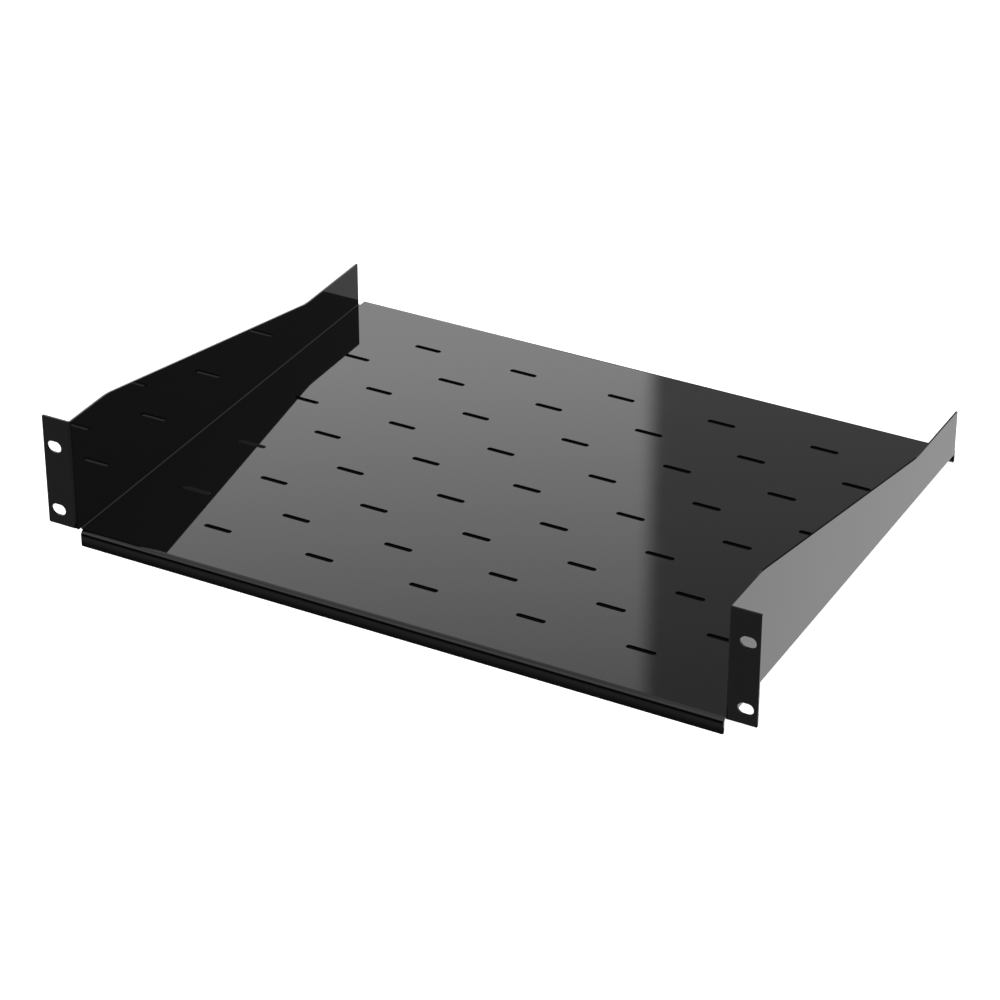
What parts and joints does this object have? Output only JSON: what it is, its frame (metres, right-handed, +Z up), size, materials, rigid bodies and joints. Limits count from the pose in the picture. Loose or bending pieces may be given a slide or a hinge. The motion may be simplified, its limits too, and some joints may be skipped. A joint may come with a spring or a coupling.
{
  "type": "rack shelf",
  "caption": "Vented equipment shelf folded from one painted steel sheet, with tapered side flanges, lips turned down at front and rear, and slotted ears that bolt to a 19-inch rack.",
  "frame": {"origin": "middle of the four bolt slots, on the rear faces of the ears, where the rack's posts meet them", "axes": "+X to the right as seen from the front, +Y to the rear, +Z up"},
  "size_m": [0.4806, 0.3535, 0.0881],
  "materials": {
    "black_paint": "smooth high-gloss black paint over folded steel sheet"
  },
  "bodies": {
    "root": {"shelf": "black_paint"}
  },
  "joints": []
}
